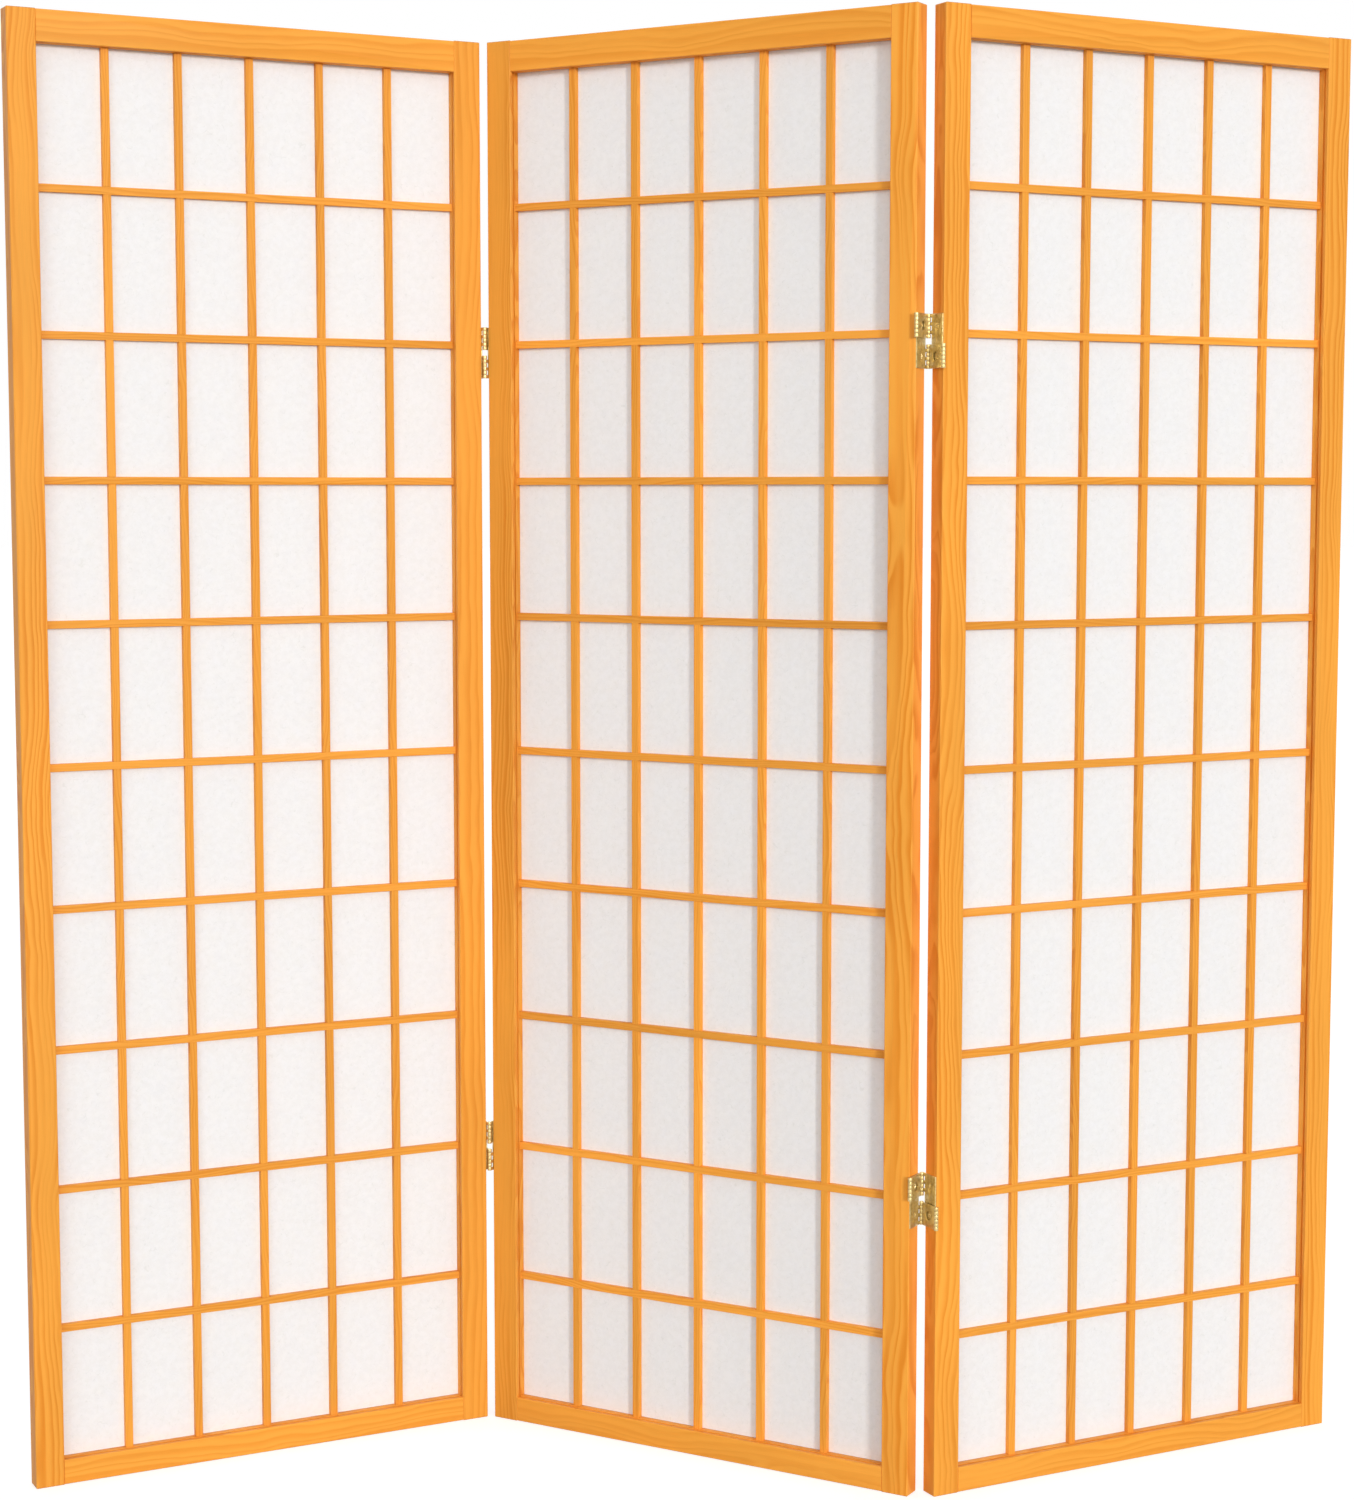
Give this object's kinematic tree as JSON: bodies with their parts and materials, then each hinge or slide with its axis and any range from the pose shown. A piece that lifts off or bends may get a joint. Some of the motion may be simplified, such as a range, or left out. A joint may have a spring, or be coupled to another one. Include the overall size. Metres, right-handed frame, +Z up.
{
  "type": "folding screen",
  "caption": "Folding paper screen of hinged wooden panels, each a frame with a half-lapped lattice over a paper sheet, standing in a zigzag.",
  "frame": {"origin": "centre of the footprint on the floor, in the standing pose of the picture", "axes": "+Z up; X along the screen, left to right as seen from the lattice side; +Y away from the viewer"},
  "size_m": [1.1226, 0.232, 1.2192],
  "materials": {
    "frame_wood": "honey-stained softwood with visible grain, satin lacquer",
    "lattice_wood": "honey-stained softwood bars, satin lacquer",
    "paper": "translucent white paper with fine fibres, matt",
    "hinge_brass": "brass-plated sheet, satin, slightly dulled",
    "pin_brass": "drawn brass wire"
  },
  "bodies": {
    "middle_panel": {"middle_panel_left_stile": "frame_wood", "middle_panel_right_stile": "frame_wood", "middle_panel_top_rail": "frame_wood", "middle_panel_bottom_rail": "frame_wood", "middle_panel_vertical_bars": "lattice_wood", "middle_panel_horizontal_bars": "lattice_wood", "middle_panel_paper": "paper", "left_hinge_middle_leaves": "hinge_brass", "left_hinge_upper_links": "hinge_brass", "left_hinge_middle_pins": "pin_brass", "right_hinge_middle_leaves": "hinge_brass", "right_hinge_upper_links": "hinge_brass", "right_hinge_middle_pins": "pin_brass"},
    "left_panel": {"left_panel_left_stile": "frame_wood", "left_panel_right_stile": "frame_wood", "left_panel_top_rail": "frame_wood", "left_panel_bottom_rail": "frame_wood", "left_panel_vertical_bars": "lattice_wood", "left_panel_horizontal_bars": "lattice_wood", "left_panel_paper": "paper", "left_hinge_side_leaves": "hinge_brass", "left_hinge_lower_links": "hinge_brass", "left_hinge_side_pins": "pin_brass"},
    "right_panel": {"right_panel_left_stile": "frame_wood", "right_panel_right_stile": "frame_wood", "right_panel_top_rail": "frame_wood", "right_panel_bottom_rail": "frame_wood", "right_panel_vertical_bars": "lattice_wood", "right_panel_horizontal_bars": "lattice_wood", "right_panel_paper": "paper", "right_hinge_side_leaves": "hinge_brass", "right_hinge_lower_links": "hinge_brass", "right_hinge_side_pins": "pin_brass"}
  },
  "joints": [
    {"name": "left_fold", "type": "hinge", "parent": "middle_panel", "child": "left_panel", "pos_m": [-0.18526, 0.09391, 0.6096], "axis": [0, 0, 1], "range_deg": [-57.2, 122.8]},
    {"name": "right_fold", "type": "hinge", "parent": "middle_panel", "child": "right_panel", "pos_m": [0.18526, -0.09391, 0.6096], "axis": [0, 0, 1], "range_deg": [-57.2, 122.8]}
  ]
}
